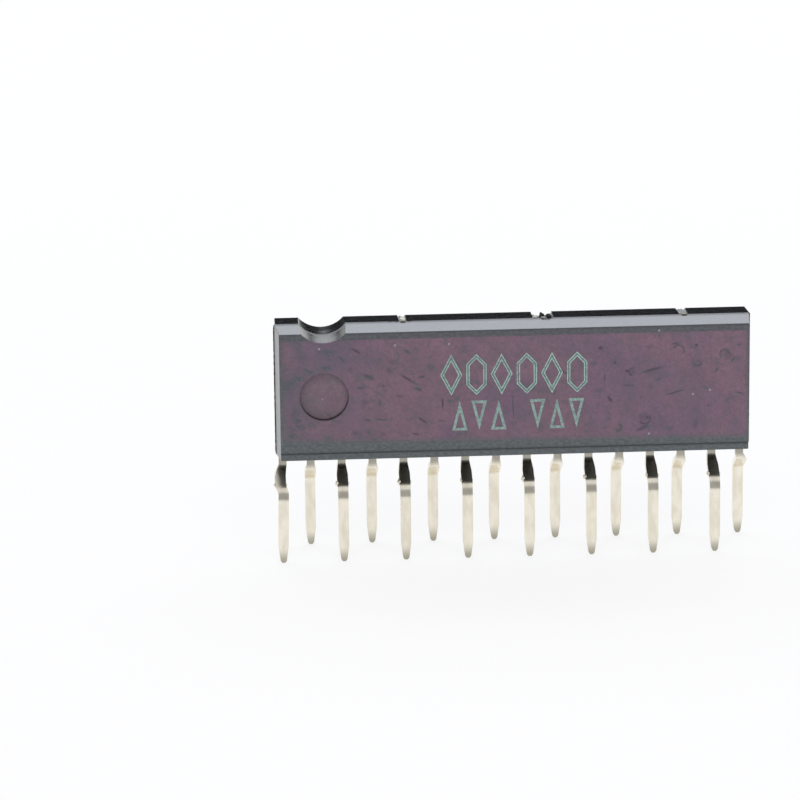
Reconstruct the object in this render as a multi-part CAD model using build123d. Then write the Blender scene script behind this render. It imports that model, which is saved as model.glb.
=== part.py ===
from build123d import *
import math
import os

# A 16-lead zigzag in-line package (ZIP) integrated circuit, in millimetres: a moulded epoxy body
# that stands on two staggered rows of leads, round the lead frame, chip and wires that it seals in.
#
# X runs along the body with lead 1 at -X, the front face looks towards -Y, and Z = 0 is the plane
# through the lead tips. The lead frame's sheet lies in the plane Y = 0, where the mould parts.

# Driving dimensions: the leads, outside the body
lead_count = 16
lead_pitch = 1.27  # along X, from one lead to the next, which stands in the other row
row_spacing = 2.54  # between the middles of the two rows
sheet_thickness = 0.25  # of the lead frame
lead_width = 0.42
shoulder_width = 0.45  # where the dam bar was cut away
neck_width = 0.32
tip_length = 0.70  # of the cut taper at the tip
tip_width = 0.25  # where the taper meets the rounding of the tip
tip_rounding = 0.09  # height of that rounding
tip_flat = 0.12
straight_length = 2.92  # from the tip up to the corner of the lower bend
slant_angle = 60.0  # of the cranked run, measured from the vertical
neck_drop = 0.56  # from the corner of the upper bend up to the body
lower_bend_radius = 0.62  # both bends are measured on the sheet's mid-plane
upper_bend_radius = 0.32
end_neck_shift = 0.12  # the first and the last neck stand this far inboard
bent_lead_corner_shift = 0.11  # lead 1 is bent inboard by this much at its lower bend
bent_lead_tip_shift = 0.06  # and by this much at its tip

# Driving dimensions: the moulded body
body_height = 5.50
body_thickness = 2.80
end_wall = 0.155  # plastic past the outermost necks, at the parting line, before the shift
body_shift = 0.055  # of the mould along the lead frame, towards the last lead
end_draft = 6.9  # degrees, on the two ends of the front mould half
long_draft = 4.4  # degrees, on its top and its underside
back_end_draft = 0.8  # the same two, on the back mould half
back_long_draft = 3.4
half_mismatch = 0.04  # of the back mould half, towards the last lead
corner_radius = 0.05
notch_radius = 1.22  # at the parting line
notch_depth = 0.47  # at the parting line
notch_draft = 1.0  # degrees, in each mould half
index_from_end = 1.964  # of the notch and of the round index mark, from the lead 1 end
index_mark_diameter = 1.98
index_mark_depth = 0.25
witness_height = 0.28  # of the mould insert's line, above the front face's lower edge
witness_width = 0.05
witness_depth = 0.03

# Driving dimensions: the lead frame, inside the body
neck_embedment = 0.45  # of the wide neck, above the body's underside
finger_width = 0.26
frame_gap = 0.20  # between neighbours cut from the same sheet
side_fingers = 5  # on each side of the pad; the other fingers reach its lower edge
corner_cut = 0.50  # of each turned finger
fan_start = 0.75  # above the underside, where the middle fingers lean in
fan_landing = 0.35  # straight end of each middle finger
pad_width = 3.20
rail_height = 0.30
rail_cover = 0.45  # plastic above the rail
tie_bar_width = 0.20
tie_bar_pitch = 5.75
tie_bar_middle = 1.35  # X of the middle tie bar
tie_bar_proud = 0.03  # of the sheared ends, above the body's top
shear_bite_widths = (0.32, 0.85, 0.38)  # bites of the shearing punch behind the tie bars
shear_bite_depth = 0.36
shear_bite_corner = 0.10

# Driving dimensions: the chip and its wires
attach_thickness = 0.05
attach_margin = 0.08  # of the adhesive past each edge of the chip
die_width = 2.20
die_height = 1.60
die_thickness = 0.30
bond_inset = 0.14  # from the chip's edge, and from the finger's end, to a bond
bond_spread = 0.80  # share of the chip's edge that the bonds take up
wire_diameter = 0.05
wire_sides = 6  # the wire's round section is drawn as a prism
wire_rise = 0.22  # of the loop above the chip's face
wire_knee = 0.6  # of the way from the chip to the finger, where the loop turns down
wire_sink = 0.03  # of the swept ends, before they are trimmed flush

# Worked out from the sizes above
row_y = row_spacing / 2
lower_corner_z = straight_length
upper_corner_z = lower_corner_z + row_y / math.tan(math.radians(slant_angle))
body_bottom = upper_corner_z + neck_drop
body_top = body_bottom + body_height
body_middle = (body_bottom + body_top) / 2
half_span = (lead_count - 1) * lead_pitch / 2
body_length = 2 * (half_span - end_neck_shift + neck_width / 2 + end_wall)
front_y = -body_thickness / 2
long_setback = body_thickness / 2 * math.tan(math.radians(long_draft))
index_x = body_shift - body_length / 2 + index_from_end
rail_top = body_top - rail_cover
rail_bottom = rail_top - rail_height
finger_step = finger_width + frame_gap
pad_height = side_fingers * finger_step
pad_bottom = rail_bottom - pad_height
pad_middle = rail_bottom - pad_height / 2
tie_bars_x = [tie_bar_middle + i * tie_bar_pitch for i in (-1, 0, 1)]
sheet_front_y = -sheet_thickness / 2
attach_front_y = sheet_front_y - attach_thickness
die_front_y = attach_front_y - die_thickness


def lead_x(number):
    return (number - 1) * lead_pitch - half_span


def flat_sheet(sketch):
    """Lead frame sheet of the given outline, drawn as seen from the front."""
    return extrude(Plane.XZ * sketch, amount=sheet_thickness / 2, both=True)


def cranked_sheet(side):
    """The sheet seen from the end: flat inside the body, then cranked out to its own row."""
    line = FilletPolyline(
        (0, body_top),
        (0, upper_corner_z),
        (side * row_y, lower_corner_z),
        (side * row_y, 0),
        radius=[upper_bend_radius, lower_bend_radius],
    )
    return extrude(Plane.YZ * trace(line, sheet_thickness), amount=body_length, both=True)


def finger_path(number):
    """Middle line of a lead inside the body, from its neck to its end beside the die pad."""
    x = neck_x(number)
    place = number - 1
    from_end = min(place, lead_count - 1 - place)
    side = -1 if place < lead_count / 2 else 1
    if from_end < side_fingers:
        level = rail_bottom - (from_end + 0.5) * finger_step - frame_gap / 2
        end_x = side * (pad_width / 2 + frame_gap)
        return [
            (x, body_bottom),
            (x, level - corner_cut),
            (x - side * corner_cut, level),
            (end_x, level),
        ]
    middle_fingers = lead_count - 2 * side_fingers
    end_x = (place - (lead_count - 1) / 2) * pad_width / middle_fingers
    end_z = pad_bottom - frame_gap
    return [
        (x, body_bottom),
        (x, body_bottom + fan_start),
        (end_x, end_z - fan_landing),
        (end_x, end_z),
    ]


def neck_x(number):
    shift = {1: end_neck_shift, lead_count: -end_neck_shift}
    return lead_x(number) + shift.get(number, 0)


def lead_blank(number):
    """Outline of a lead as seen from the front, from the cut tip to the finger's end."""
    x = lead_x(number)
    bent = number == 1
    tip_x = x + bent_lead_tip_shift * bent
    corner_x = x + bent_lead_corner_shift * bent
    slant_height = upper_corner_z - lower_corner_z
    stations = [
        (tip_x, 0, tip_flat),
        (tip_x, tip_rounding, tip_width),
        (tip_x, tip_length, lead_width),
        (corner_x, lower_corner_z, lead_width),
        (x, lower_corner_z + slant_height / 3, shoulder_width),
        (x, upper_corner_z - slant_height / 4, shoulder_width),
        (neck_x(number), upper_corner_z + neck_drop / 4, neck_width),
        (neck_x(number), body_bottom + neck_embedment, neck_width),
    ]
    left = [(middle - width / 2, z) for middle, z, width in stations]
    right = [(middle + width / 2, z) for middle, z, width in reversed(stations)]
    outer = make_face(Polyline(left + right, close=True))
    return outer + trace(Polyline(finger_path(number)), finger_width)


def lead(number, sheet):
    blank = extrude(Plane.XZ * lead_blank(number), amount=body_thickness, both=True)
    return sheet & blank


def die_pad():
    """The chip's pad, hung from a rail that three tie bars held in the lead frame."""
    rail_length = tie_bars_x[-1] - tie_bars_x[0] + tie_bar_width
    rail_middle = (tie_bars_x[0] + tie_bars_x[-1]) / 2
    outline = Pos(0, pad_middle) * Rectangle(pad_width, pad_height)
    outline += Pos(rail_middle, rail_bottom + rail_height / 2) * Rectangle(rail_length, rail_height)
    bar_top = body_top + tie_bar_proud
    for x in tie_bars_x:
        bar = Rectangle(tie_bar_width, bar_top - rail_bottom)
        outline += Pos(x, (bar_top + rail_bottom) / 2) * bar
    return flat_sheet(outline)


def layer(width, height, back_y, front):
    """A flat layer on the pad's front, from back_y out to front."""
    middle = Pos(0, (back_y + front) / 2, pad_middle)
    return middle * Box(width, back_y - front, height)


def bond_points(number):
    """The two bonds of a wire: on the chip's face, then on its finger."""
    before_end, end = finger_path(number)[-2:]
    run = Vector(*end) - Vector(*before_end)
    on_finger = Vector(*end) - run.normalized() * bond_inset
    place = number - 1
    from_end = min(place, lead_count - 1 - place)
    if from_end < side_fingers:
        side = -1 if place < lead_count / 2 else 1
        share = 0.5 - (from_end + 0.5) / side_fingers
        on_die = (side * (die_width / 2 - bond_inset), pad_middle + share * bond_spread * die_height)
    else:
        middle_fingers = lead_count - 2 * side_fingers
        share = (place - (lead_count - 1) / 2) / middle_fingers
        on_die = (share * bond_spread * die_width, pad_middle - die_height / 2 + bond_inset)
    start = Vector(on_die[0], die_front_y, on_die[1])
    return start, Vector(on_finger.X, sheet_front_y, on_finger.Y)


def bond_wire(number, die, finger):
    """A gold wire looped from the chip to its finger, trimmed flush with both."""
    start, end = bond_points(number)
    sink = Vector(0, wire_sink, 0)
    rise = Vector(0, wire_rise, 0)
    across = Vector(end.X - start.X, 0, end.Z - start.Z)
    loop = Polyline(start + sink, start - rise, start - rise + across * wire_knee, end + sink)
    section = RegularPolygon(wire_diameter / 2, wire_sides)
    swept = sweep((loop ^ 0) * section, path=loop, transition=Transition.RIGHT)
    return swept - die - finger


def body_half(side):
    """One mould half: the body drafts from the parting line to its front or back face."""
    front = side < 0
    ends = math.tan(math.radians(end_draft if front else back_end_draft))
    longs = math.tan(math.radians(long_draft if front else back_long_draft))
    parting = RectangleRounded(body_length, body_height, corner_radius)
    face = RectangleRounded(
        body_length - body_thickness * ends, body_height - body_thickness * longs, corner_radius
    )
    middle = Pos(body_shift if front else body_shift + half_mismatch, body_middle)
    face_plane = Plane.XZ.offset(-side * body_thickness / 2)
    return loft([Plane.XZ * middle * parting, face_plane * middle * face], ruled=True)


def notch_half(side):
    """What one mould half leaves out of the body's top: the notch opens towards its face."""
    length = 2 * body_thickness
    opening = notch_radius + length * math.tan(math.radians(notch_draft))
    notch_z = body_top - notch_depth + notch_radius
    from_parting = (Align.CENTER, Align.CENTER, Align.MIN)
    cone = Plane.XZ * Cone(notch_radius, opening, length, align=from_parting)
    turned = Rot(0, 0, 180) * cone if side > 0 else cone
    return Pos(index_x, 0, notch_z) * turned


def package_body(contents):
    """The moulded body, with its notch and marks, closed round all that it seals in."""
    body = body_half(-1) + body_half(1) - notch_half(-1) - notch_half(1)
    mark = Plane.XZ * Cylinder(index_mark_diameter / 2, 2 * index_mark_depth)
    body -= Pos(index_x, front_y, body_middle) * mark
    witness_z = body_bottom + long_setback + witness_height
    witness = Box(2 * body_length, 2 * witness_depth, witness_width)
    body -= Pos(0, front_y, witness_z) * witness
    for x, width in zip(tie_bars_x, shear_bite_widths):
        outline = RectangleRounded(width, 2 * shear_bite_depth, shear_bite_corner)
        bite = extrude(Plane.XZ * outline, amount=-body_thickness)
        body -= Pos(x, -sheet_front_y, body_top) * bite
    for piece in contents:
        body -= piece
    return body


def build():
    """Every piece of the package, by name."""
    rows = {side: cranked_sheet(side) for side in (-1, 1)}
    numbers = range(1, lead_count + 1)
    leads = {n: lead(n, rows[-1 if n % 2 else 1]) for n in numbers}
    die = layer(die_width, die_height, attach_front_y, die_front_y)
    attach = layer(
        die_width + 2 * attach_margin, die_height + 2 * attach_margin, sheet_front_y, attach_front_y
    )
    wires = {n: bond_wire(n, die, leads[n]) for n in numbers}
    pieces = {f"lead_{n:02d}": leads[n] for n in numbers}
    pieces |= {f"bond_wire_{n:02d}": wires[n] for n in numbers}
    pieces |= {"die_pad": die_pad(), "die_attach": attach, "silicon_die": die}
    pieces["package_body"] = package_body(list(pieces.values()))
    return pieces


os.makedirs("parts", exist_ok=True)
for name, piece in build().items():
    export_step(piece, f"parts/{name}.step")
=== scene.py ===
# %% [markdown]
# # A zigzag in-line package, dressed for a close-up
# The object is an electronic part 19.6 mm long: a moulded epoxy body on sixteen tinned leads that
# stand in two staggered rows. Its shape comes ready from the CAD frame, at its real size. This
# notebook gives it what CAD leaves out: the finish of every surface, the ink on its face, the thin
# flash of the mould and the small scars of its making, and then the table, the light and the camera.

# %% Load the measured model
import math

import bmesh
import bpy
from mathutils import Matrix, Quaternion, Vector, noise


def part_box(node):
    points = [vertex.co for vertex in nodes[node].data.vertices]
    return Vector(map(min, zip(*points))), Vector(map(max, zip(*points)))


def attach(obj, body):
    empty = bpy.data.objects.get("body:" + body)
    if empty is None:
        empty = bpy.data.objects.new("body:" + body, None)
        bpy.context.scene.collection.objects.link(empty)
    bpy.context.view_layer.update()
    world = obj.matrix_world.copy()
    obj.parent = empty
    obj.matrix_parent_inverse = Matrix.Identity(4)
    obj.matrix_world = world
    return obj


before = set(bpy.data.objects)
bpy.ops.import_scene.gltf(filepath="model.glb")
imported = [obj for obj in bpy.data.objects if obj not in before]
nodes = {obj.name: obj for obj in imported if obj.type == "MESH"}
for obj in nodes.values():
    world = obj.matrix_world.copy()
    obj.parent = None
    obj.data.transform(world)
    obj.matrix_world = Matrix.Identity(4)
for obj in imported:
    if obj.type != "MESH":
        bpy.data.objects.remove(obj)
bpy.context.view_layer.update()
print("CAD nodes:", len(nodes))

# %% [markdown]
# ## Units and landmarks
# Blender works in metres here, and everything on this part is a few millimetres or less. So the
# landmarks below are in millimetres, pieces are drawn in millimetres and scaled once at the end, and
# the materials read coordinates in millimetres too. The landmarks come from the frame's boxes, with
# the few insets that the drafted mould halves have, so the ink and the flash follow the CAD model.

# %% Units and landmarks
MM = 0.001
body_low, body_high = (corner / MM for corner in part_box("package_body"))
body_middle = (body_low + body_high) / 2
half_mismatch = 0.04  # the back mould half stands this far towards the last lead
end_draft, edge_draft = 0.169, 0.108  # what the draft takes off the flat faces on each side
front_y = body_low.y
face_left = body_low.x + end_draft
face_right = body_high.x - half_mismatch - end_draft
face_top = body_high.z - edge_draft
face_bottom = body_low.z + edge_draft
witness_z = face_bottom + 0.28  # the fine line that the mould's insert left across the face
index_x, index_radius, index_depth = body_low.x + 1.964, 0.99, 0.25
print("body, mm:", [round(side, 3) for side in body_high - body_low])

# %% [markdown]
# ## Helpers for materials
# Colours are easiest to choose as the hex values of a paint chart, but a renderer adds up light, so
# it needs linear numbers. `linear` turns one into the other. `add_node` puts a node into a material
# with its settings, its constants and its links in one line, and gives back the output that the next
# node needs, which keeps a long recipe readable. Settings that come back often have a name. The
# other helpers are short recipes: noise of a real size, the distance from a level, and a colour
# made lighter or darker by a factor.

# %% Colour and node helpers
SMOOTH = {"interpolation_type": "SMOOTHSTEP"}  # Map Range: 0 value, 1 from, 2 to, 3 and 4 results
TIMES, LARGER = {"operation": "MULTIPLY"}, {"operation": "MAXIMUM"}
COLOURS = {"data_type": "RGBA", "out": 2}  # Mix: 0 factor, 6 and 7 the two colours


def linear(hex_colour):
    """An sRGB hex colour as linear red, green, blue and alpha."""
    levels = [int(hex_colour[i : i + 2], 16) / 255 for i in (0, 2, 4)]
    return [v / 12.92 if v <= 0.04045 else ((v + 0.055) / 1.055) ** 2.4 for v in levels] + [1.0]


def add_node(tree, kind, inputs=None, out=0, **settings):
    """Adds a shader node and gives back one output. An input is a constant or a socket."""
    made = tree.nodes.new("ShaderNode" + kind)
    for name, value in settings.items():
        setattr(made, name, value)
    for key, value in (inputs or {}).items():
        if isinstance(value, bpy.types.NodeSocket):
            tree.links.new(value, made.inputs[key])
        else:
            made.inputs[key].default_value = value
    return made.outputs[out] if made.outputs else None


def new_material(name):
    """An empty material and its node tree."""
    material = bpy.data.materials.new(name)
    material.use_nodes = True
    material.node_tree.nodes.clear()
    return material, material.node_tree


def millimetres(tree):
    """The object's own coordinates, in millimetres."""
    place = add_node(tree, "TexCoord", out="Object")
    return add_node(tree, "VectorMath", {0: place, "Scale": 1 / MM}, operation="SCALE")


def grain(tree, place, size, detail=2.0, roughness=0.5, stretch=(1, 1, 1), turn=0.0):
    """Noise in spots about size millimetres across, stretched and turned in the face's plane."""
    laid = {
        "Vector": place,
        "Rotation": (0, math.radians(turn), 0),
        "Scale": [size * share for share in stretch],
    }
    laid = add_node(tree, "Mapping", laid, vector_type="TEXTURE")
    noise_inputs = {"Vector": laid, "Scale": 1.0, "Detail": detail, "Roughness": roughness}
    return add_node(tree, "TexNoise", noise_inputs)


def off_level(tree, value, level):
    """How far a value is from a level, on either side of it."""
    gap = add_node(tree, "Math", {0: value, 1: level}, operation="SUBTRACT")
    return add_node(tree, "Math", {0: gap}, operation="ABSOLUTE")


def toned(tree, colour, factor):
    """A colour made lighter or darker by a factor, where 1 leaves it as it is."""
    factor = add_node(tree, "CombineXYZ", {0: factor, 1: factor, 2: factor})
    layers = {0: 1.0, 6: colour, 7: factor}
    return add_node(tree, "Mix", layers, blend_type="MULTIPLY", **COLOURS)


print("middle grey as a linear number:", round(linear("808080")[0], 3))

# %% [markdown]
# ## The epoxy moulding compound
# The body is black epoxy filled with powdered silica. Its drafted sides come from a ground part of
# the mould: near black, with a soft gloss. The two large faces come from a mould insert that was
# spark eroded, so they are finely pitted and satin, and they carry a thin plum bloom of release wax,
# which also lies on the floor of the round index mark. The bloom stops short of the edges. So one
# material does the work, and masks made from the object's own coordinates say where the bloom is.

# %% Where the bloom lies
def index_distance(tree, place):
    """Distance from the middle of the round index mark, with depth counted very lightly."""
    laid = {"Vector": place, "Location": (index_x, front_y, body_middle.z), "Scale": (1, 100, 1)}
    laid = add_node(tree, "Mapping", laid, vector_type="TEXTURE")
    return add_node(tree, "VectorMath", {0: laid}, operation="LENGTH", out="Value")


def bloomed_faces(tree, y, from_index):
    """1 on the two large faces and on the floor of the index mark, 0 on the sides."""
    depth = add_node(tree, "Math", {0: y}, operation="ABSOLUTE")
    on_face = add_node(tree, "MapRange", {0: depth, 1: -front_y - 0.05, 2: -front_y - 0.035})
    level = {0: y, 1: front_y + index_depth, 2: 0.03}
    level = add_node(tree, "Math", level, operation="COMPARE")
    inside = {0: from_index, 1: index_radius - 0.008, 2: index_radius - 0.016}
    inside = add_node(tree, "MapRange", inside)
    floor = add_node(tree, "Math", {0: level, 1: inside}, **TIMES)
    return add_node(tree, "Math", {0: on_face, 1: floor}, **LARGER), floor


def bloom_reach(tree, place, x, z):
    """1 where the bloom is whole, 0 on the cleaner grey border round each face."""
    wander = grain(tree, place, 0.45, detail=3.0)
    sloping = add_node(tree, "Math", {0: x, 1: 0.014, 2: z}, operation="MULTIPLY_ADD")
    lower = face_bottom + 0.71  # the lower border narrows towards the last lead
    borders = (  # coordinate, where the bloom starts, where it is whole, how far the line wanders
        (x, face_left - 0.10, face_left + 0.36, 0.20),
        (x, face_right + 0.03, face_right - 0.20, 0.08),
        (z, face_top - 0.24, face_top - 0.32, 0.06),
        (sloping, lower - 0.17, lower + 0.17, 0.12),
    )
    whole = 1.0
    for coordinate, start, full, width in borders:
        moved = {0: wander, 1: width, 2: coordinate}
        moved = add_node(tree, "Math", moved, operation="MULTIPLY_ADD")
        inputs = {0: moved, 1: start + width / 2, 2: full + width / 2}
        reached = add_node(tree, "MapRange", inputs, **SMOOTH)
        whole = add_node(tree, "Math", {0: whole, 1: reached}, **TIMES)
    return whole


print("flat front face, mm:", round(face_right - face_left, 3), round(face_top - face_bottom, 3))

# %% [markdown]
# ### Clouds, smears and curling lines
# The bloom is uneven in a way that one noise can't give. Soft clouds a millimetre wide lie over all of
# it. Short smears slant down to the right, in clusters, mostly at the notched end. Fine curling lines,
# as a cloth leaves them, lie mostly at the other end: they are the places where a smooth noise passes
# through its middle value, and a second noise breaks them up. A cell pattern gives small dark pits,
# and the corner at the notch is worn. Each layer is a function, and the last one adds them up.

# %% Layers of grey
smear_width, smear_stretch, smear_turn = 0.12, 4, 35  # millimetres, times its width, degrees


def smears(tree, place, notched_end):
    """Short slanting smears in clusters, stronger at the notched end."""
    stretch = (smear_stretch, 1, 1)
    short = grain(tree, place, smear_width, detail=3.0, stretch=stretch, turn=smear_turn)
    short = add_node(tree, "MapRange", {0: short, 1: 0.55, 2: 0.70}, **SMOOTH)
    clusters = grain(tree, place, 1.1, detail=1.0)
    clusters = add_node(tree, "MapRange", {0: clusters, 1: 0.42, 2: 0.60}, **SMOOTH)
    strength = add_node(tree, "MapRange", {0: notched_end, 3: 0.35, 4: 0.90})
    short = add_node(tree, "Math", {0: short, 1: clusters}, **TIMES)
    return add_node(tree, "Math", {0: short, 1: strength}, **TIMES)


def curling_lines(tree, place, notched_end):
    """Broken lines where a noise passes its middle value, weaker at the notched end."""
    off_middle = off_level(tree, grain(tree, place, 0.50, detail=1.5), 0.5)
    lines = add_node(tree, "MapRange", {0: off_middle, 1: 0.034, 2: 0.010}, **SMOOTH)
    broken = grain(tree, place, 0.36, detail=1.0)
    broken = add_node(tree, "MapRange", {0: broken, 1: 0.53, 2: 0.62}, **SMOOTH)
    strength = add_node(tree, "MapRange", {0: notched_end, 3: 0.55, 4: 0.25})
    lines = add_node(tree, "Math", {0: lines, 1: broken}, **TIMES)
    return add_node(tree, "Math", {0: lines, 1: strength}, **TIMES)


def dark_pits(tree, place):
    """A small pit in the middle of about one cell in eight."""
    cells = add_node(tree, "TexVoronoi", {"Vector": place, "Scale": 1 / 0.30}).node.outputs
    pits = add_node(tree, "MapRange", {0: cells["Distance"], 1: 0.17, 2: 0.09}, **SMOOTH)
    chosen = add_node(tree, "SeparateColor", {0: cells["Color"]})
    chosen = add_node(tree, "MapRange", {0: chosen, 1: 0.86, 2: 0.90, 4: 0.5})
    return add_node(tree, "Math", {0: pits, 1: chosen}, **TIMES)


def worn_corner(tree, place, x):
    """Uneven wear that grows towards the notched end of the face."""
    corner = add_node(tree, "MapRange", {0: x, 1: -6.5, 2: -9.0}, **SMOOTH)
    worn = grain(tree, place, 0.55, detail=3.0, roughness=0.6)
    worn = add_node(tree, "MapRange", {0: worn, 1: 0.42, 2: 0.62, 3: 0.08, 4: 0.42}, **SMOOTH)
    return add_node(tree, "Math", {0: corner, 1: worn}, **TIMES)


print("smears, mm:", smear_width * smear_stretch, "by", smear_width)


# %% How much grey shows through the bloom
def grey_share(tree, place, x):
    """0 where the bloom is clean plum, towards 1 where grey shows through it."""
    notched_end = add_node(tree, "MapRange", {0: x, 1: -2.5, 2: -8.5}, **SMOOTH)
    clouds = grain(tree, place, 1.3, detail=2.0)
    clouds = add_node(tree, "MapRange", {0: clouds, 1: 0.42, 2: 0.68, 4: 0.24}, **SMOOTH)
    blotches = grain(tree, place, 0.42, detail=3.0, roughness=0.6)
    blotches = add_node(tree, "MapRange", {0: blotches, 1: 0.52, 2: 0.70, 4: 0.36}, **SMOOTH)
    share = add_node(tree, "Math", {0: notched_end, 1: 0.10, 2: clouds}, operation="MULTIPLY_ADD")
    share = add_node(tree, "Math", {0: share, 1: worn_corner(tree, place, x)})
    fine_layers = (
        blotches,
        smears(tree, place, notched_end),
        curling_lines(tree, place, notched_end),
        dark_pits(tree, place),
    )
    for layer in fine_layers:
        share = add_node(tree, "Math", {0: share, 1: layer}, use_clamp=True)
    return share


print("layers of grey: clouds, wear, blotches, smears, curling lines and pits")

# %% [markdown]
# ### Marks of handling
# Some marks are single ones, so each has its own line in a list, which says where it is, how large
# it is and how it is turned. A patch or a scratch is an ellipse: a Mapping node moves, turns and
# shrinks the face until the ellipse becomes a ball of radius one, and a spherical gradient fills it.
# A curl is half a ring. A fine noise frays their edges.

# %% The single marks, in millimetres
patches = (  # soft: x and z of the middle, length, width, tilt in degrees
    (-8.54, 8.70, 0.85, 0.60, 0), (-7.33, 8.86, 0.42, 0.22, 20), (-6.62, 8.08, 0.28, 0.40, 0),
    (-5.06, 8.01, 0.44, 0.36, 10), (-5.43, 6.67, 0.26, 0.42, 0), (-4.62, 6.93, 0.50, 0.22, 15),
    (-6.03, 6.70, 0.42, 0.28, 0), (-4.90, 8.35, 0.40, 0.28, 20), (-8.90, 6.20, 0.60, 0.90, 0),
    (-5.32, 5.36, 0.44, 0.20, 30), (-6.45, 5.43, 0.40, 0.22, 10), (3.23, 8.07, 0.50, 0.36, -20),
    (4.60, 7.14, 0.62, 0.16, 0), (5.63, 7.04, 0.36, 0.28, 10), (8.70, 8.30, 0.80, 0.48, 15),
    (7.54, 8.07, 0.48, 0.36, 0), (5.56, 8.73, 0.52, 0.26, 10), (7.40, 5.37, 0.24, 0.30, 0),
    (4.86, 7.70, 0.34, 0.28, 0), (3.55, 6.95, 0.50, 0.30, 0), (5.32, 5.80, 0.66, 0.46, 0),
)
scratches = (  # the same, with firmer edges
    (-6.96, 8.52, 0.44, 0.14, 45), (-6.38, 8.86, 0.60, 0.15, 33), (-5.87, 7.76, 0.64, 0.18, 30),
    (-6.22, 7.32, 0.42, 0.17, 8), (-4.27, 7.62, 1.10, 0.14, 33), (-3.87, 7.20, 0.42, 0.20, 22),
    (-3.77, 7.70, 0.40, 0.16, -15), (-5.29, 7.36, 0.16, 0.13, 0), (-2.90, 6.60, 0.13, 0.62, 0),
    (-3.73, 5.90, 0.56, 0.14, 35), (-5.40, 5.96, 0.76, 0.10, 8), (-5.96, 5.95, 0.36, 0.16, 0),
    (-8.78, 6.00, 0.36, 0.20, 0), (-4.32, 8.78, 0.50, 0.15, 35), (-4.00, 5.32, 0.36, 0.12, 15),
    (-2.95, 5.84, 0.42, 0.06, 5), (3.54, 8.73, 0.26, 0.22, -40), (3.92, 6.58, 0.42, 0.18, 58),
    (2.05, 7.76, 1.10, 0.12, 29), (5.62, 7.76, 1.30, 0.17, -15), (6.60, 6.80, 1.00, 0.08, -15),
    (9.24, 6.70, 0.50, 0.11, 14), (8.29, 7.70, 0.34, 0.13, -48), (8.75, 8.42, 0.40, 0.11, 35),
    (8.95, 8.12, 0.36, 0.11, -50), (7.44, 8.75, 0.20, 0.15, 0), (6.65, 8.86, 0.62, 0.13, -10),
    (4.12, 8.10, 0.20, 0.14, 0), (5.45, 5.76, 0.20, 0.16, 0), (7.95, 6.20, 0.15, 0.12, 0),
    (9.18, 8.73, 0.20, 0.17, 0), (-0.04, 6.45, 0.07, 1.50, -3), (3.71, 7.50, 0.07, 0.46, 0),
    (5.28, 5.34, 0.72, 0.22, -25), (4.62, 7.74, 0.22, 0.18, 0),
)
curls = (  # x and z of the middle, radius, and the way the half ring faces
    (4.86, 7.70, 0.15, 190), (5.35, 5.72, 0.22, 60), (4.25, 5.37, 0.14, 20), (7.50, 8.05, 0.16, 100),
    (8.62, 8.34, 0.20, 230), (6.72, 8.56, 0.22, 300),
)
specks = (  # x and z of dust that stuck to the face
    (5.92, 9.40), (7.32, 6.70), (8.01, 6.86), (5.52, 5.08), (-4.81, 9.06), (-2.62, 9.06),
    (-7.88, 8.98), (-7.76, 6.82),
)
speck_size = 0.13
print("single marks:", len(patches), "patches,", len(scratches), "scratches,", len(curls), "curls")


# %% One mark, and all of them
def ellipse(tree, place, x, z, length, width, turn):
    """1 in the middle of an ellipse on the front face, falling to 0 at its edge."""
    laid = {
        "Vector": place,
        "Location": (x, front_y, z),
        "Rotation": (0, math.radians(turn), 0),
        "Scale": (length / 2, 0.5, width / 2),
    }
    laid = add_node(tree, "Mapping", laid, vector_type="TEXTURE")
    return add_node(tree, "TexGradient", {0: laid}, gradient_type="SPHERICAL", out=1)


def curl(tree, place, x, z, radius, turn):
    """1 on the half of a ring that faces along turn, in degrees from +X down towards -Z."""
    laid = {
        "Vector": place,
        "Location": (x, front_y, z),
        "Rotation": (0, math.radians(turn), 0),
        "Scale": (radius, 1, radius),
    }
    laid = add_node(tree, "Mapping", laid, vector_type="TEXTURE")
    from_middle = add_node(tree, "VectorMath", {0: laid}, operation="LENGTH", out="Value")
    ring = off_level(tree, from_middle, 1.0)
    ring = add_node(tree, "MapRange", {0: ring, 1: 0.080 / radius, 2: 0.01}, **SMOOTH)
    ahead = add_node(tree, "SeparateXYZ", {0: laid})
    facing = add_node(tree, "MapRange", {0: ahead, 1: -0.35, 2: 0.25}, **SMOOTH)
    return add_node(tree, "Math", {0: ring, 1: facing}, **TIMES)


def handling_marks(tree, place):
    """1 in the middle of the deepest marks."""
    soft, firm = 0.0, 0.0
    for mark in patches:
        soft = add_node(tree, "Math", {0: soft, 1: ellipse(tree, place, *mark)}, **LARGER)
    for mark in scratches:
        firm = add_node(tree, "Math", {0: firm, 1: ellipse(tree, place, *mark)}, **LARGER)
    soft = add_node(tree, "MapRange", {0: soft, 2: 0.7, 4: 0.48}, **SMOOTH)
    firm = add_node(tree, "MapRange", {0: firm, 2: 0.55}, **SMOOTH)
    for mark in curls:
        firm = add_node(tree, "Math", {0: firm, 1: curl(tree, place, *mark)}, **LARGER)
    frayed = grain(tree, place, 0.08, detail=3.0, roughness=0.7)
    frayed = add_node(tree, "MapRange", {0: frayed, 1: 0.30, 2: 0.55, 3: 0.45}, **SMOOTH)
    firm = add_node(tree, "Math", {0: firm, 1: soft}, **LARGER)
    return add_node(tree, "Math", {0: firm, 1: frayed}, **TIMES)


print("marks in one layer:", len(patches) + len(scratches) + len(curls))

# %% [markdown]
# ### Colours of the epoxy
# Black epoxy with silica in it is a very dark grey. The wax bloom is a thin film, so its plum and
# rose are greyed, and the grey of the epoxy shows where the film is thin. Round the edge there is no
# film, and the grey there is cleaner and streaky. A Mix node lays one colour over another by the
# share that a mask gives it.

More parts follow.
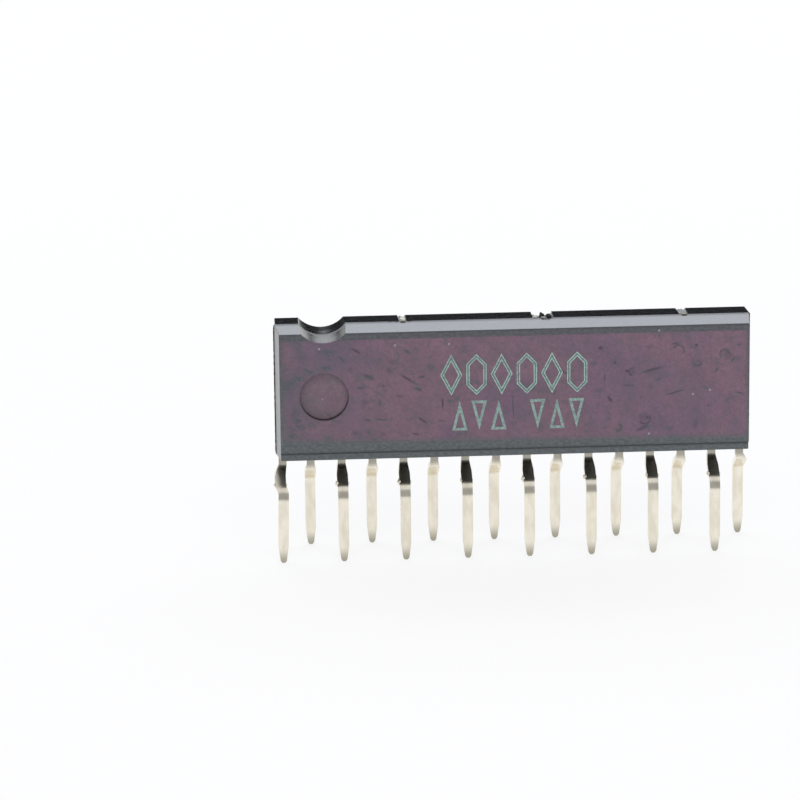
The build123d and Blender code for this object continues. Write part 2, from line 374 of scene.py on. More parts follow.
# %% Colours of the bloom and of the border
epoxy_black = "2A2C2D"
bloom_plum, bloom_rose, bloom_warm = "725A6F", "7C5F6F", "7F6974"
show_through = "52565D"  # the grey that shows where the bloom is thin
# the last colour is for painted dark lines: a dark reflection along the upper edge and shade along the
# insert's groove
border_upper, border_lower, painted_dark_line = "53555A", "5A6063", "3F4245"
mark_plum, mark_slate = "4E414F", "4C5259"
dust_white = "A09A9C"


def bloom_colour(tree, place, x, floor, from_index):
    """Plum and rose in broad fields, warmer on the index mark's floor, with a fine mottle."""
    field = grain(tree, place, 2.4, detail=2.0)
    field = add_node(tree, "MapRange", {0: field, 1: 0.32, 2: 0.60}, **SMOOTH)
    colour = {0: field, 6: linear(bloom_plum), 7: linear(bloom_rose)}
    colour = add_node(tree, "Mix", colour, **COLOURS)
    warm = grain(tree, place, 0.60, detail=2.0)
    warm = add_node(tree, "MapRange", {0: warm, 1: 0.38, 2: 0.58, 3: 0.30}, **SMOOTH)
    warm = add_node(tree, "Math", {0: floor, 1: warm}, **TIMES)
    colour = add_node(tree, "Mix", {0: warm, 6: colour, 7: linear(bloom_warm)}, **COLOURS)
    mottle = grain(tree, place, 0.085, detail=3.0, roughness=0.65)
    mottle = add_node(tree, "MapRange", {0: mottle, 1: 0.35, 2: 0.65, 3: 0.885, 4: 1.115})
    shade = grain(tree, place, 0.8, detail=3.0, roughness=0.6)
    shade = add_node(tree, "MapRange", {0: shade, 1: 0.34, 2: 0.66, 3: 0.95, 4: 1.05})
    mottle = add_node(tree, "Math", {0: mottle, 1: shade}, **TIMES)
    # painted light: the floor of the index mark gets lighter towards its wall, to even out the shade
    # that falls near the wall
    painted_light_near_wall = {0: from_index, 1: index_radius - 0.30, 2: index_radius - 0.02, 4: 0.20}
    painted_light_near_wall = add_node(tree, "MapRange", painted_light_near_wall, **SMOOTH)
    painted_light_near_wall = add_node(tree, "Math", {0: painted_light_near_wall, 1: floor, 2: 1.0}, operation="MULTIPLY_ADD")
    colour = toned(tree, colour, add_node(tree, "Math", {0: mottle, 1: painted_light_near_wall}, **TIMES))
    sheltered = add_node(tree, "MapRange", {0: floor, 3: 1.0, 4: 0.6})  # less grey on the floor
    share = add_node(tree, "Math", {0: grey_share(tree, place, x), 1: sheltered}, **TIMES)
    return add_node(tree, "Mix", {0: share, 6: colour, 7: linear(show_through)}, **COLOURS)


def border_colour(tree, place, z):
    """The border without bloom: a little darker above than below, in short level streaks."""
    height = add_node(tree, "MapRange", {0: z, 1: body_middle.z - 1.5, 2: body_middle.z + 1.5})
    border = {0: height, 6: linear(border_lower), 7: linear(border_upper)}
    border = add_node(tree, "Mix", border, **COLOURS)
    streaks = grain(tree, place, 0.10, detail=3.0, roughness=0.65, stretch=(1.8, 1, 1))
    streaks = add_node(tree, "MapRange", {0: streaks, 1: 0.41, 2: 0.59, 3: 0.82, 4: 1.18})
    return toned(tree, border, streaks)


print("bloom:", bloom_plum, bloom_rose, bloom_warm, "border:", border_upper, border_lower)


# %% Lines, marks and dust
def add_lines(tree, z, colour):
    """Painted dark lines: a dark reflection along the upper edge, and shade along the groove that the
    mould's insert left below.
    """
    # painted dark reflection along the upper edge of the face
    line = add_node(tree, "MapRange", {0: z, 1: face_top - 0.07, 2: face_top - 0.03, 4: 0.8})
    colour = add_node(tree, "Mix", {0: line, 6: colour, 7: linear(painted_dark_line)}, **COLOURS)
    # painted shade, spread about 0.1 mm round the groove that the mould's insert left
    groove_shade = off_level(tree, z, witness_z)
    groove_shade = add_node(tree, "MapRange", {0: groove_shade, 1: 0.11, 2: 0.02, 4: 0.45}, **SMOOTH)
    return add_node(tree, "Mix", {0: groove_shade, 6: colour, 7: linear(painted_dark_line)}, **COLOURS)


def add_marks(tree, place, y, from_index, colour):
    """Single marks in plum or slate, the dark rim of the index mark, and specks of dust."""
    kind = grain(tree, place, 0.7, detail=1.0)
    kind = add_node(tree, "MapRange", {0: kind, 1: 0.40, 2: 0.60}, **SMOOTH)
    mark = add_node(tree, "Mix", {0: kind, 6: linear(mark_plum), 7: linear(mark_slate)}, **COLOURS)
    worn = handling_marks(tree, place)
    colour = add_node(tree, "Mix", {0: worn, 6: colour, 7: mark}, **COLOURS)
    rim = off_level(tree, from_index, index_radius + 0.005)
    rim = add_node(tree, "MapRange", {0: rim, 1: 0.024, 2: 0.008, 4: 0.30}, **SMOOTH)
    in_front = add_node(tree, "Math", {0: y, 1: 0.0}, operation="LESS_THAN")
    rim = add_node(tree, "Math", {0: rim, 1: in_front}, **TIMES)
    colour = add_node(tree, "Mix", {0: rim, 6: colour, 7: linear(epoxy_black)}, **COLOURS)
    dust = 0.0
    for x, z in specks:
        speck = ellipse(tree, place, x, z, speck_size, speck_size, 0)
        dust = add_node(tree, "Math", {0: dust, 1: speck}, **LARGER)
    dust = add_node(tree, "MapRange", {0: dust, 1: 0.1, 2: 0.6}, **SMOOTH)
    return add_node(tree, "Mix", {0: dust, 6: colour, 7: linear(dust_white)}, **COLOURS)


print("specks of dust:", len(specks), "of", speck_size, "mm")


# %% [markdown]
# ### Gloss of the epoxy, and the whole material
# A mirror-like surface has roughness 0 and a matt one 1. The ground sides of the mould give the sides
# a soft gloss, and the front half of the mould is duller than the back one, most of all along the
# parting line. The spark-eroded faces are satin. Real pits are finer than the 0.045 mm used here:
# they are drawn coarser so that they show. A Bump node tilts the surface a little at each of them.

# %% The epoxy material
def side_roughness(tree, place, y):
    """Roughness of the drafted sides of both mould halves."""
    haze = grain(tree, place, 0.30, detail=3.0)
    front_half = add_node(tree, "MapRange", {0: y, 1: 0.01, 2: -0.01, 3: 0.07, 4: 0.17})
    parting = add_node(tree, "MapRange", {0: y, 1: -0.34, 2: -0.02, 4: 0.26}, **SMOOTH)
    before = add_node(tree, "MapRange", {0: y, 1: 0.01, 2: -0.01})
    parting = add_node(tree, "Math", {0: parting, 1: before}, **TIMES)
    hazy = add_node(tree, "Math", {0: haze, 1: 0.06, 2: front_half}, operation="MULTIPLY_ADD")
    return add_node(tree, "Math", {0: hazy, 1: parting})


def epoxy_moulding_compound():
    """Transfer-moulded epoxy: black soft-gloss sides, satin faces under a plum bloom."""
    material, tree = new_material("epoxy_moulding_compound")
    place = millimetres(tree)
    x, y, z = add_node(tree, "SeparateXYZ", {0: place}).node.outputs
    from_index = index_distance(tree, place)
    bloomed, floor = bloomed_faces(tree, y, from_index)
    bloom = bloom_colour(tree, place, x, floor, from_index)
    reach = add_node(tree, "Math", {0: bloom_reach(tree, place, x, z), 1: floor}, **LARGER)
    border = border_colour(tree, place, z)
    colour = add_node(tree, "Mix", {0: reach, 6: border, 7: bloom}, **COLOURS)
    colour = add_marks(tree, place, y, from_index, add_lines(tree, z, colour))
    colour = add_node(tree, "Mix", {0: bloomed, 6: linear(epoxy_black), 7: colour}, **COLOURS)
    pits = grain(tree, place, 0.045, detail=2.0, roughness=0.6)
    satin = add_node(tree, "MapRange", {0: pits, 3: 0.44, 4: 0.64})
    sides = side_roughness(tree, place, y)
    roughness = add_node(tree, "MapRange", {0: bloomed, 3: sides, 4: satin})
    height = add_node(tree, "Math", {0: pits, 1: bloomed}, **TIMES)
    normal = add_node(tree, "Bump", {"Height": height, "Distance": 0.006 * MM, "Strength": 0.35})
    shader = {"Base Color": colour, "Roughness": roughness, "IOR": 1.55, "Normal": normal}
    add_node(tree, "OutputMaterial", {0: add_node(tree, "BsdfPrincipled", shader)})
    return material


epoxy = epoxy_moulding_compound()
print("nodes in the epoxy:", len(epoxy.node_tree.nodes))

# %% [markdown]
# ## Tin plate, copper alloy and what the body hides
# The leads are stamped from copper alloy sheet and plated with tin, which is a warm, slightly milky
# silver. Rolling left fine lines along the sheet. The tin is darker towards the cut tips, and painted
# shade darkens it just under the body. A metal's colour is its reflection, so `Metallic` is 1 and
# the base colour is how much of each colour it reflects.
# Silicon, silver-filled glue and smeared copper look only partly metallic, so theirs is lower.
# The chip, its silver-filled glue, the gold wires and the bare frame are sealed inside, but they get
# their own finish too, for anyone who cuts the body open.

# %% Tin plate
def tin_plate():
    """Electroplated matt tin: warm silver with fine lines along the lead, darker towards the tips, and
    darkened by painted shade just under the body.
    """
    material, tree = new_material("tin_plate")
    place = millimetres(tree)
    height = add_node(tree, "SeparateXYZ", {0: place}, out="Z")
    clouds = grain(tree, place, 0.30, detail=3.0, stretch=(1, 1, 2.5))
    shade = add_node(tree, "MapRange", {0: clouds, 1: 0.35, 2: 0.68}, **SMOOTH)
    colour = {0: shade, 6: linear("F5EFE0"), 7: linear("EAE3D2")}
    colour = add_node(tree, "Mix", colour, **COLOURS)
    # the tin gets darker towards the cut tips
    near_tip = add_node(tree, "Math", {0: clouds, 1: 0.2, 2: height}, operation="MULTIPLY_ADD")
    tip = add_node(tree, "MapRange", {0: near_tip, 1: 0.75, 2: 0.15, 4: 0.75}, **SMOOTH)
    colour = add_node(tree, "Mix", {0: tip, 6: colour, 7: linear("8F8B79")}, **COLOURS)
    # painted shade: the tin just under the body is darkened, where the body's shade falls on it
    painted_shade_under_body = add_node(tree, "MapRange", {0: height, 1: 3.50, 2: 3.85, 4: 0.7}, **SMOOTH)
    colour = add_node(tree, "Mix", {0: painted_shade_under_body, 6: colour, 7: linear("77756C")}, **COLOURS)
    roughness = add_node(tree, "MapRange", {0: clouds, 3: 0.16, 4: 0.30})
    # the rolling lines are finer than this on a real lead, and are drawn coarser so that they show
    lines = grain(tree, place, 0.035, detail=2.0, stretch=(1, 1, 22))
    normal = add_node(tree, "Bump", {"Height": lines, "Distance": 0.002 * MM, "Strength": 0.25})
    shader = {"Base Color": colour, "Metallic": 1.0, "Roughness": roughness, "Normal": normal}
    add_node(tree, "OutputMaterial", {0: add_node(tree, "BsdfPrincipled", shader)})
    return material


tin = tin_plate()
print("nodes in the tin:", len(tin.node_tree.nodes))


# %% Copper, chip, glue, wires and broken epoxy
def speckled(name, dark, light, size, metallic, roughness):
    """A plain finish whose colour and gloss vary softly over spots of size millimetres."""
    material, tree = new_material(name)
    spots = grain(tree, millimetres(tree), size, detail=3.0)
    colour = add_node(tree, "Mix", {0: spots, 6: linear(dark), 7: linear(light)}, **COLOURS)
    gloss = add_node(tree, "MapRange", {0: spots, 3: roughness - 0.08, 4: roughness + 0.08})
    normal = add_node(tree, "Bump", {"Height": spots, "Distance": 0.002 * MM, "Strength": 0.3})
    shader = {"Base Color": colour, "Metallic": metallic, "Roughness": gloss, "Normal": normal}
    add_node(tree, "OutputMaterial", {0: add_node(tree, "BsdfPrincipled", shader)})
    return material


finishes = {
    "epoxy": epoxy,
    "tin": tin,
    # sheared copper alloy, tarnished: a dull brown grey with a broad, soft shine
    "copper": speckled("bare_copper_alloy", "6B655C", "8D8678", 0.05, 1.0, 0.55),
    # epoxy filled with silver flakes: a pale, grainy, half metallic grey
    "silver_glue": speckled("silver_filled_epoxy", "8E8E8A", "B4B4AF", 0.03, 0.6, 0.55),
    # a polished silicon chip: dark and blue grey, nearly a mirror
    "silicon": speckled("polished_silicon", "3E4148", "50545E", 0.20, 0.9, 0.15),
    # drawn gold wire: a warm yellow metal, smooth from the die that it was drawn through
    "gold": speckled("drawn_gold_wire", "D9A441", "F0C468", 0.05, 1.0, 0.22),
    # epoxy squeezed into the mould's gap and snapped off: near black and dull
    "flash": speckled("epoxy_flash", "1E2022", "3A3C3E", 0.05, 0.0, 0.60),
    # crumbs of epoxy: broken all over, so they are the darkest and dullest black here
    "crumb": speckled("crumbled_epoxy", "121416", "202224", 0.05, 0.0, 0.75),
    # copper wiped over the epoxy by the shear: pale, bright in places, rough
    "smear": speckled("smeared_copper_alloy", "A8A698", "DAD9CC", 0.06, 0.8, 0.60),
    # torn epoxy, whose bared silica scatters the light: a pale, quite matt grey
    "torn": speckled("torn_epoxy", "7C7F7E", "B0B3B5", 0.07, 0.0, 0.85),
}
finish_of = {"package_body": "epoxy", "die_pad": "copper", "die_attach": "silver_glue",
             "silicon_die": "silicon"}
for name, piece in nodes.items():
    other = "tin" if name.startswith("lead") else "gold"
    piece.material_slots[0].material = finishes[finish_of.get(name, other)]
print("finishes:", ", ".join(material.name for material in finishes.values()))

# %% [markdown]
# ## The ink on the face
# Real packages are stamped with a pad. The pad squeezes the ink to the rim of every stroke, so a
# stroke shows as two bright lines with a thinner film between them. Here the place of the marking
# holds plain outlined shapes. Each one starts as a disc of a few sides, and the inset operator makes
# the rim, the film and the inner rim in turn, after which the middle is taken out.

# %% Ink
def stamping_ink(name, thin, thick, cover):
    """Pale green stamping ink, whose cover breaks up over the pits of the epoxy."""
    material, tree = new_material(name)
    patchy = grain(tree, millimetres(tree), 0.09, detail=4.0, roughness=0.65)
    patchy = add_node(tree, "MapRange", {0: patchy, 1: 0.30, 2: cover}, **SMOOTH)
    colour = add_node(tree, "Mix", {0: patchy, 6: linear(thin), 7: linear(thick)}, **COLOURS)
    normal = add_node(tree, "Bump", {"Height": patchy, "Distance": 0.003 * MM, "Strength": 0.5})
    shader = {"Base Color": colour, "Roughness": 0.6, "Normal": normal}
    add_node(tree, "OutputMaterial", {0: add_node(tree, "BsdfPrincipled", shader)})
    return material


# thick ink along the rim of a stroke, the thin film between two rims, and a worn single stroke
ink_rim = stamping_ink("stamping_ink_rim", "78A094", "B4D4C9", 0.60)
ink_film = stamping_ink("stamping_ink_film", "6B6A74", "6F9488", 0.75)
ink_soft = stamping_ink("stamping_ink_soft", "748B88", "9DB9B0", 0.70)
ink_height = 0.004
print("ink stands proud by, mm:", ink_height)


# %% Making a piece of a drawn mesh
def finish_piece(mesh, name, materials):
    """Makes an object of a mesh drawn in millimetres and lets it ride on the body."""
    bmesh.ops.scale(mesh, vec=(MM, MM, MM), verts=mesh.verts)
    bmesh.ops.recalc_face_normals(mesh, faces=mesh.faces)
    data = bpy.data.meshes.new(name)
    mesh.to_mesh(data)
    mesh.free()
    piece = bpy.data.objects.new(name, data)
    bpy.context.scene.collection.objects.link(piece)
    for material in materials:
        data.materials.append(material)
    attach(piece, "root")
    print(name, "faces:", len(data.polygons))


print("pieces are drawn in millimetres and scaled by", MM)


# %% One outlined shape, and a row of them
def outline_shape(mesh, sides, width, height, centre, strokes, turn):
    """One outlined shape on the front face: strokes are pairs of width and material index."""
    verts = bmesh.ops.create_circle(mesh, cap_ends=True, segments=sides, radius=0.5)["verts"]
    face = next(f for f in mesh.faces if all(v in verts for v in f.verts))
    bmesh.ops.rotate(mesh, verts=verts, matrix=Matrix.Rotation(math.radians(turn), 3, "Z"))
    for axis, size in ((0, width), (1, height)):
        low, high = (pick(v.co[axis] for v in verts) for pick in (min, max))
        stretch = Vector((1, 1, 1))
        stretch[axis] = size / (high - low)
        middle = Vector((0, 0, 0))
        middle[axis] = -(low + high) / 2
        bmesh.ops.translate(mesh, verts=verts, vec=middle)
        bmesh.ops.scale(mesh, verts=verts, vec=stretch)
    bmesh.ops.rotate(mesh, verts=verts, matrix=Matrix.Rotation(math.pi / 2, 3, "X"))
    bmesh.ops.translate(mesh, verts=verts, vec=centre)
    for stroke_width, index in strokes:
        ring = bmesh.ops.inset_individual(
            mesh, faces=[face], thickness=stroke_width, use_even_offset=True
        )["faces"]
        for part in ring:
            part.material_index = index
    bmesh.ops.delete(mesh, geom=[face], context="FACES")


def ink_row(name, shapes, left, right, low, high, strokes, materials):
    """A row of outlined shapes between two ends, as one thin film of ink."""
    mesh = bmesh.new()
    step = (right - left) / len(shapes)
    for place, shape in enumerate(shapes):
        if shape:
            sides, share, turn = shape
            centre = (left + (place + 0.5) * step, front_y, (low + high) / 2)
            outline_shape(mesh, sides, step * share, high - low, centre, strokes, turn)
    bmesh.ops.solidify(mesh, geom=mesh.faces[:], thickness=ink_height)
    shift = front_y - max(v.co.y for v in mesh.verts)
    bmesh.ops.translate(mesh, verts=mesh.verts, vec=(0, shift, 0))
    finish_piece(mesh, name, materials)


# each shape: how many sides, its share of the step in the row, and its turn in degrees
diamond, hexagon = (4, 0.86, 0), (6, 0.80, 0)
point_up, point_down = (3, 0.80, 0), (3, 0.80, 180)
double_stroke = ((0.032, 0), (0.066, 1), (0.032, 0))  # pairs of width and material index
single_stroke = ((0.11, 0),)
upper_shapes = (diamond, hexagon) * 3
lower_shapes = (point_up, point_down, point_up, None, point_down, point_up, point_down)
upper_ends, upper_heights = (-3.05, 3.10), (6.90, 8.61)
lower_ends, lower_heights = (-2.60, 2.95), (5.42, 6.66)
ink_row("marking_upper_row", upper_shapes, *upper_ends, *upper_heights, double_stroke,
        (ink_rim, ink_film))
ink_row("marking_lower_row", lower_shapes, *lower_ends, *lower_heights, single_stroke,
        (ink_soft,))

# %% [markdown]
# ## The flash of the mould
# Where the two halves of the mould met, a little epoxy squeezed out and was broken off. It stands as a
# ragged dark fin along the notched end of the body, and a small nib of it is left at the other end.
# The fin starts as a flat strip of many short faces. Its outer edge is pushed in and out by a noise,
# the same on every run, and `solidify` gives it its thickness.

# %% The fin and the nib
def ragged_fin(mesh, x, reach, low, high, thickness, ragged):
    """An upright fin in the parting plane, from x out by reach, between two heights."""
    verts = bmesh.ops.create_grid(mesh, x_segments=2, y_segments=80, size=0.5)["verts"]
    faces = list({face for vert in verts for face in vert.link_faces})
    bmesh.ops.rotate(mesh, verts=verts, matrix=Matrix.Rotation(math.pi / 2, 3, "X"))
    bmesh.ops.scale(mesh, verts=verts, vec=(abs(reach) * 2, 1, high - low))
    bmesh.ops.translate(mesh, verts=verts, vec=(x, 0, (low + high) / 2))
    side = math.copysign(1, reach)
    nicks_per_mm, taper = 7, 0.12
    for vert in verts:
        if (vert.co.x - x) * side > 0.001:
            push = noise.noise(Vector((0, 0, vert.co.z * nicks_per_mm))) * ragged
            near_end = min(vert.co.z - low, high - vert.co.z, taper) / taper
            vert.co.x = x + (reach + side * push) * max(near_end, 0.15)
    bmesh.ops.solidify(mesh, geom=faces, thickness=thickness)
    made = [v for v in mesh.verts if abs(v.co.x - x) <= abs(reach) + ragged + 0.001]
    middle = sum(v.co.y for v in made) / len(made)
    bmesh.ops.translate(mesh, verts=made, vec=(0, -middle, 0))


flash = bmesh.new()
fin_reach, fin_thickness, fin_ragged, fin_gap = -0.028, 0.04, 0.012, 0.03
ragged_fin(flash, body_low.x, fin_reach, body_low.z + fin_gap, body_high.z - fin_gap,
           fin_thickness, fin_ragged)
nib = bmesh.ops.create_icosphere(flash, subdivisions=2, radius=0.05)["verts"]
for vert in nib:
    vert.co *= 1 + 0.4 * noise.noise(vert.co * 30)
bmesh.ops.scale(flash, verts=nib, vec=(0.5, 0.7, 1.6))
bmesh.ops.translate(flash, verts=nib, vec=(body_high.x - 0.012, 0.02, 5.41))
finish_piece(flash, "parting_flash", (finishes["flash"],))

# %% [markdown]
# ## Where the tie bars were sheared
# The lead frame was held in the top of the body by three tie bars. A press sheared them off, and each
# cut bit into the epoxy round its bar. The floor of such a bite is torn, so it is rough and pale. A
# grid of small faces is lifted by a noise, climbs towards both sides of the bite, and gets its
# thickness from `solidify`. Crumbs of epoxy, and copper that the shear wiped over the edge, lie in
# and beside the bites. They are balls of small faces, squeezed and dented by a noise, so that no two
# are the same.

# %% A dented ball and a torn floor
def lump(mesh, centre, size, seed):
    """A dented ball of the given centre and three sizes."""
    verts = bmesh.ops.create_icosphere(mesh, subdivisions=3, radius=0.5)["verts"]
    for vert in verts:
        dent = noise.noise(vert.co * 3 + Vector((seed, 0, 0))) * 0.45
        dent += noise.noise(vert.co * 8 + Vector((0, seed, 0))) * 0.15
        vert.co *= 1 + dent
    bmesh.ops.scale(mesh, verts=verts, vec=size)
    bmesh.ops.translate(mesh, verts=verts, vec=centre)


ground_length, ground_middle_y, ground_thickness = 1.40, 0.63, 0.26


def torn_ground(mesh, x, width, height, climb, seed):
    """The rough ground of one bite of the shears, which climbs towards the bite's sides."""
    verts = bmesh.ops.create_grid(mesh, x_segments=14, y_segments=24, size=0.5)["verts"]
    faces = list({face for vert in verts for face in vert.link_faces})
    bmesh.ops.scale(mesh, verts=verts, vec=(width, ground_length, 1))
    for vert in verts:
        rough = noise.noise(Vector((vert.co.x * 12, vert.co.y * 5, seed))) * 0.06
        rough += noise.noise(Vector((vert.co.x * 30, vert.co.y * 20, seed))) * 0.02
        vert.co.z = rough + abs(2 * vert.co.x / width) ** 3 * climb
    bmesh.ops.translate(mesh, verts=verts, vec=(x, ground_middle_y, height))
    top = max(vert.co.z for vert in verts)
    bmesh.ops.solidify(mesh, geom=faces, thickness=ground_thickness)
    solid = [v for v in mesh.verts if abs(v.co.x - x) <= width]
    rise = max(vert.co.z for vert in solid) - top
    bmesh.ops.translate(mesh, verts=solid, vec=(0, 0, -rise))


print("torn floors, mm:", ground_length, "long and", ground_thickness, "thick")


# %% Torn floors, crumbs and smears
top_z = body_high.z
first_bar, middle_bar, last_bar = -4.40, 1.35, 7.10  # X of the tie bars
ground = bmesh.new()
torn_ground(ground, first_bar, 0.34, top_z - 0.13, 0.04, 2)
torn_ground(ground, middle_bar, 0.87, top_z - 0.22, 0.10, 7)
torn_ground(ground, last_bar, 0.40, top_z - 0.13, 0.05, 4)
lump(ground, (1.36, -0.09, top_z + 0.005), (0.24, 0.10, 0.11), 17)
finish_piece(ground, "torn_ground", (finishes["torn"],))

crumbs = bmesh.new()
lump(crumbs, (1.29, 0.30, top_z - 0.02), (0.23, 0.26, 0.34), 9)
lump(crumbs, (1.54, 0.10, top_z + 0.04), (0.25, 0.26, 0.17), 8)
lump(crumbs, (-4.66, 0.00, top_z - 0.01), (0.16, 0.09, 0.08), 13)
lump(crumbs, (-4.92, 0.00, top_z - 0.02), (0.22, 0.08, 0.08), 21)
lump(crumbs, (-4.14, 0.02, top_z - 0.01), (0.18, 0.08, 0.09), 34)
finish_piece(crumbs, "shear_crumbs", (finishes["crumb"],))

smear = bmesh.new()
lump(smear, (1.00, 0.10, top_z + 0.01), (0.17, 0.20, 0.09), 5)
lump(smear, (first_bar, 0.30, top_z + 0.03), (0.22, 0.50, 0.13), 11)
finish_piece(smear, "shear_smear", (finishes["smear"],))

# %% [markdown]
# ## Where the dam bar was cut
# A bar joined the leads just below the body, to dam the epoxy in the mould. A second press cut it out
# between the leads, and left a small nub of tin on the edges of each lead at its upper bend, a
# larger one on the left. Only those on the front row are made, because the camera sees no others.

# %% Nubs on the front row
nubs = bmesh.new()
lead_pitch, lead_count = 1.27, 16
middle_number = (lead_count + 1) / 2
shoulder_half = 0.225
nub_y, nub_z = -1.00, 3.20
for number in range(1, lead_count + 1, 2):
    middle_x = (number - middle_number) * lead_pitch
    for side, size in ((-1, 0.15), (1, 0.06)):
        size *= 1 + 0.5 * noise.noise(Vector((number * 1.7, side, 0.5)))
        edge = middle_x + side * (shoulder_half + 0.12 * size)
        lump(nubs, (edge, nub_y, nub_z), (size * 0.9, size * 0.9, size * 1.4), number + side)
finish_piece(nubs, "dam_bar_nubs", (finishes["tin"],))

# %% [markdown]
# ## The table, the screens and the light
# The part stands on a white table. A camera sees the table as pure white, and so do the tin and the
# gloss of the epoxy, but the table still takes a soft shadow. Glossy things are lit by what they
# mirror. A large soft lamp behind and above gives the light strip along the top of the front mould
# half. Straight behind the part stands a low, narrow black card, which the top of the back half
# mirrors as a black band. A bright screen stands behind it and reaches past it on both sides and
# above, and the two ends of the notch mirror that. In front stand a dim screen, as a room behind a
# camera is, and a brighter one over it: they are the dark and the light band on each bend of the
# leads. The screens and the card are hidden from the camera.

# %% World and table
scene = bpy.context.scene
scene.view_settings.view_transform = "Standard"


def background_rays(tree):
    """1 for rays that should meet the plain white background, from the camera or a mirror."""
    path = add_node(tree, "LightPath").node.outputs
    seen = add_node(tree, "Math", {0: path["Is Camera Ray"], 1: path["Is Glossy Ray"]})
    return add_node(tree, "Math", {0: seen, 1: path["Is Transmission Ray"]}, use_clamp=True)


def make_world():
    """A white room that gives the part less light than it shows to the camera."""
    world = bpy.data.worlds.new("white_room")
    scene.world = world
    world.use_nodes = True
    tree = world.node_tree
    tree.nodes.clear()
    fill = 0.62
    strength = add_node(tree, "MapRange", {0: background_rays(tree), 3: fill, 4: 1.0})
    sky = add_node(tree, "Background", {0: linear("FFFFFF"), 1: strength})
    add_node(tree, "OutputWorld", {0: sky})


def stage_piece(mesh, name, material, seen=True):
    """Something of the studio, in metres, which isn't part of the object."""
    data = bpy.data.meshes.new(name)
    mesh.to_mesh(data)
    mesh.free()
    data.materials.append(material)
    piece = bpy.data.objects.new(name, data)
    piece.visible_camera = seen
    scene.collection.objects.link(piece)


table_half = 1.5  # metres, from the middle to each edge
table_glow = 0.80  # the share of the table's white that no shadow can darken


def make_table():
    """A white table that is plain white to the camera and still keeps a soft shadow."""
    material, tree = new_material("white_laminate")
    paint = add_node(tree, "BsdfDiffuse", {"Color": linear("FAFAFC")})
    white = add_node(tree, "Emission", {"Color": linear("FFFFFF"), "Strength": 1.0})
    share = add_node(tree, "Math", {0: background_rays(tree), 1: table_glow}, **TIMES)
    surface = add_node(tree, "MixShader", {0: share, 1: paint, 2: white})
    add_node(tree, "OutputMaterial", {0: surface})
    mesh = bmesh.new()
    bmesh.ops.create_grid(mesh, x_segments=1, y_segments=1, size=table_half)
    stage_piece(mesh, "table", material)


make_world()
make_table()
print("table, metres across:", 2 * table_half)


# %% Card and screens
card_black = "060606"


def studio_screen(name, foot, head, middle, spread, glow=None):
    """A curved screen, glowing or black. Foot and head are pairs of radius and height, metres."""
    # middle and spread are degrees, counted from straight behind the part
    material, tree = new_material(name + "_cloth")
    if glow:
        surface = add_node(tree, "Emission", {"Color": linear("FFFFFF"), "Strength": glow})
    else:
        surface = add_node(tree, "BsdfDiffuse", {"Color": linear(card_black)})
    add_node(tree, "OutputMaterial", {0: surface})
    mesh = bmesh.new()
    turned = Matrix.Rotation(math.radians(middle - spread), 3, "Z")
    ends = [mesh.verts.new(turned @ Vector((0, radius, height))) for radius, height in (foot, head)]
    edge = mesh.edges.new(ends)
    bmesh.ops.spin(mesh, geom=ends + [edge], axis=(0, 0, 1), cent=(0, 0, 0),
                   angle=math.radians(2 * spread), steps=24, use_merge=False)
    stage_piece(mesh, name, material, seen=False)
    print(name, "height, mm:", round(head[1] / MM))


studio_screen("card_behind", (0.25, 0.0), (0.25, 0.068), 2, 14.5)
studio_screen("screen_behind", (0.27, 0.0), (0.27, 0.11), 0, 60, glow=1.4)
studio_screen("screen_front_low", (0.25, 0.0), (0.25, 0.27), 180, 80, glow=0.38)
studio_screen("screen_front_high", (0.25, 0.27), (0.02, 0.42), 180, 90, glow=0.80)


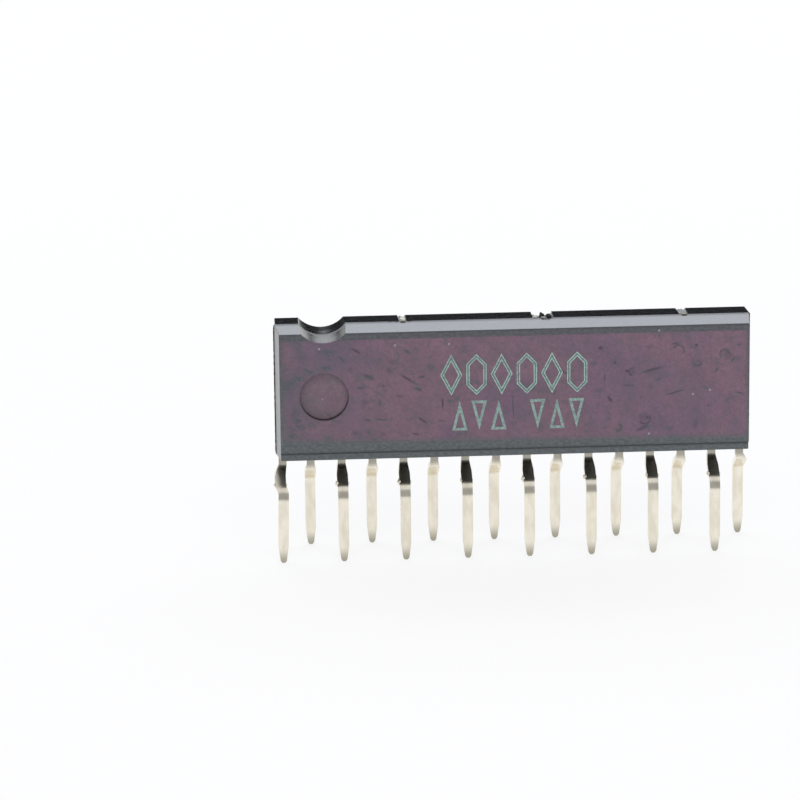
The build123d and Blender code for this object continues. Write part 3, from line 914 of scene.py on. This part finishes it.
# %% Lamps
def soft_lamp(name, azimuth, elevation, distance, width, height, radiance, mirrored=True,
              tint="FFFFFF"):
    """A rectangular lamp that faces the part. Radiance 1 looks white in a perfect mirror."""
    lamp = bpy.data.lights.new(name, "AREA")
    lamp.color = linear(tint)[:3]
    lamp.shape = "RECTANGLE"
    lamp.size, lamp.size_y = width, height
    lamp.energy = radiance * math.pi * width * height
    piece = bpy.data.objects.new(name, lamp)
    turn, tilt = math.radians(azimuth), math.radians(elevation)
    away = Vector((math.sin(turn) * math.cos(tilt), math.cos(turn) * math.cos(tilt),
                   math.sin(tilt)))
    piece.location = body_middle * MM + away * distance
    piece.rotation_euler = away.to_track_quat("Z", "Y").to_euler()
    piece.visible_glossy = mirrored
    scene.collection.objects.link(piece)
    print(name, "watts:", round(lamp.energy, 3))


soft_lamp("lamp_behind", 0, 37, 0.35, 0.60, 0.26, 1.68, tint="E4EDFF")
soft_lamp("lamp_front", 180, 40, 0.24, 0.20, 0.16, 1.75, mirrored=False)

# %% [markdown]
# ## The camera
# A long lens from a little to the left and fifteen degrees up shows the front face nearly square on.
# The camera aims beside the part, which leaves it right of the middle of the frame, and it is tipped
# by well under a degree.

# %% Camera
lens, sensor_width = 197.7, 36  # millimetres
camera_distance = 180 * MM
camera_azimuth = 3.09  # degrees, to the left of the front face
camera_elevation = 14.99
camera_roll = -0.69
look_height = 6.0 * MM
part_right_of_aim = 4.551 * MM
part_below_aim = 0.262 * MM


def make_camera():
    """A camera whose aim is beside the part, so that the part stands to the right."""
    turn, tilt = math.radians(camera_azimuth), math.radians(camera_elevation)
    forward = Vector((math.sin(turn) * math.cos(tilt), math.cos(turn) * math.cos(tilt),
                      -math.sin(tilt)))
    rotation = forward.to_track_quat("-Z", "Y") @ Quaternion((0, 0, 1), math.radians(camera_roll))
    right, up = rotation @ Vector((1, 0, 0)), rotation @ Vector((0, 1, 0))
    aim = Vector((0, 0, look_height)) - right * part_right_of_aim + up * part_below_aim
    data = bpy.data.cameras.new("camera")
    data.lens, data.sensor_width = lens, sensor_width
    data.clip_start, data.clip_end = 0.01, 10
    camera = bpy.data.objects.new("camera", data)
    camera.rotation_mode = "QUATERNION"
    camera.rotation_quaternion = rotation
    camera.location = aim - forward * camera_distance
    scene.collection.objects.link(camera)
    scene.camera = camera
    print("camera, mm:", [round(c / MM, 1) for c in camera.location])


make_camera()
